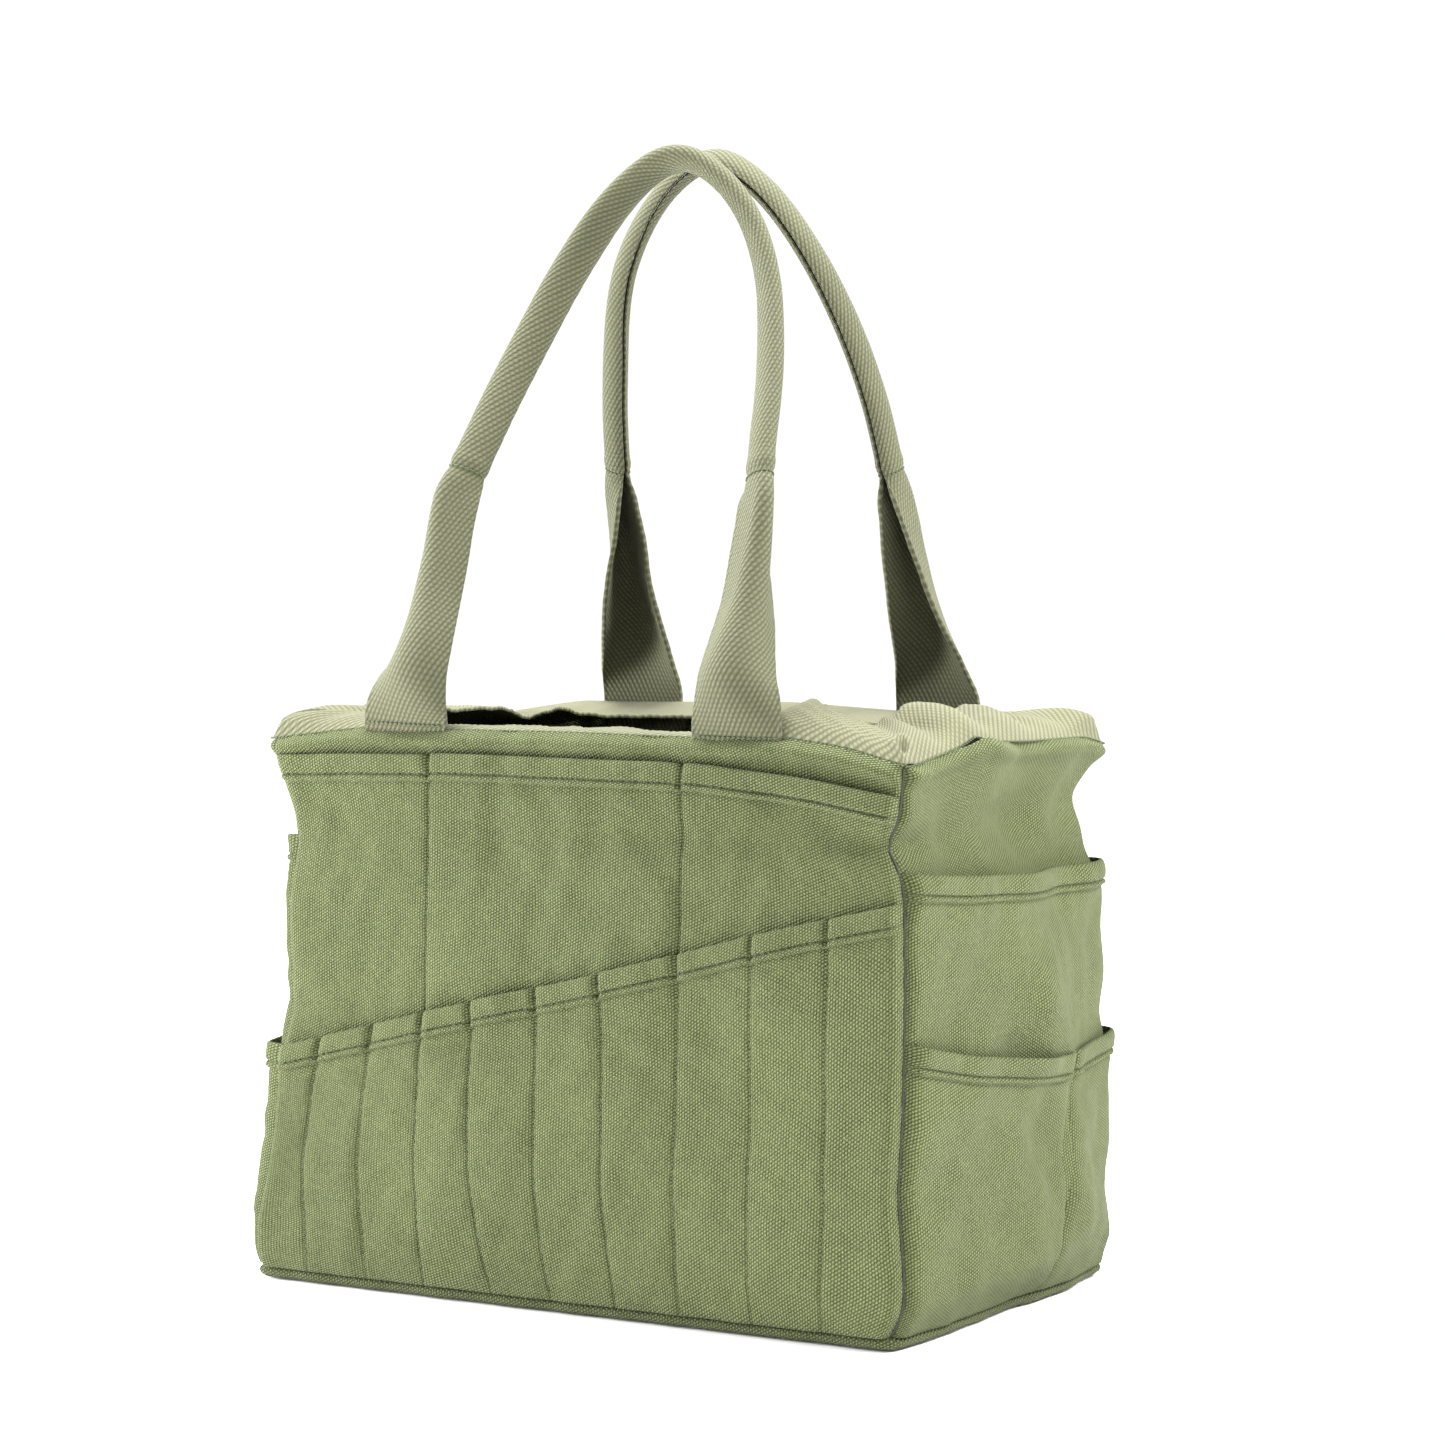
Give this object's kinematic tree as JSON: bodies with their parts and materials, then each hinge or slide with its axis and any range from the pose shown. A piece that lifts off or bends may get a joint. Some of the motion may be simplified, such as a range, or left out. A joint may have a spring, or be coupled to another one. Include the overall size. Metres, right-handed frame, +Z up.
{
  "type": "garden tool bag",
  "caption": "Open-topped canvas tool bag with slotted pockets on its walls, a webbing collar and two swinging webbing handles.",
  "frame": {"origin": "middle of the footprint, on the ground the bag stands on", "axes": "+Z up, +X to the bag's right along its long side, -Y out of the front with the row of tool slots"},
  "size_m": [0.3988, 0.2588, 0.5946],
  "materials": {
    "green_canvas": "matt cotton canvas weave",
    "sage_webbing": "coarse cotton webbing",
    "cotton_filler": "plain cotton cord",
    "stiffener_board": "matt"
  },
  "bodies": {
    "bag": {"base_panel": "green_canvas", "front_panel": "green_canvas", "back_panel": "green_canvas", "right_gusset": "green_canvas", "left_gusset": "green_canvas", "front_upper_pocket": "green_canvas", "front_tool_pocket": "green_canvas", "back_upper_pocket": "green_canvas", "back_lower_pocket": "green_canvas", "right_upper_pocket": "green_canvas", "right_lower_pocket": "green_canvas", "left_upper_pocket": "green_canvas", "left_lower_pocket": "green_canvas", "front_right_seam_binding": "green_canvas", "back_right_seam_binding": "green_canvas", "front_left_seam_binding": "green_canvas", "back_left_seam_binding": "green_canvas", "base_stiffener_board": "stiffener_board", "rim_collar": "sage_webbing", "front_left_strap_tab": "sage_webbing", "front_right_strap_tab": "sage_webbing", "rear_left_strap_tab": "sage_webbing", "rear_right_strap_tab": "sage_webbing"},
    "front_handle": {"front_handle_strap": "sage_webbing", "front_handle_core": "cotton_filler"},
    "rear_handle": {"rear_handle_strap": "sage_webbing", "rear_handle_core": "cotton_filler"}
  },
  "joints": [
    {"name": "front_handle_swing", "type": "hinge", "parent": "bag", "child": "front_handle", "pos_m": [0, -0.1163, 0.3016], "axis": [1, 0, 0], "range_deg": [0, 138]},
    {"name": "rear_handle_swing", "type": "hinge", "parent": "bag", "child": "rear_handle", "pos_m": [0, 0.1163, 0.3016], "axis": [-1, 0, 0], "range_deg": [0, 138]}
  ]
}
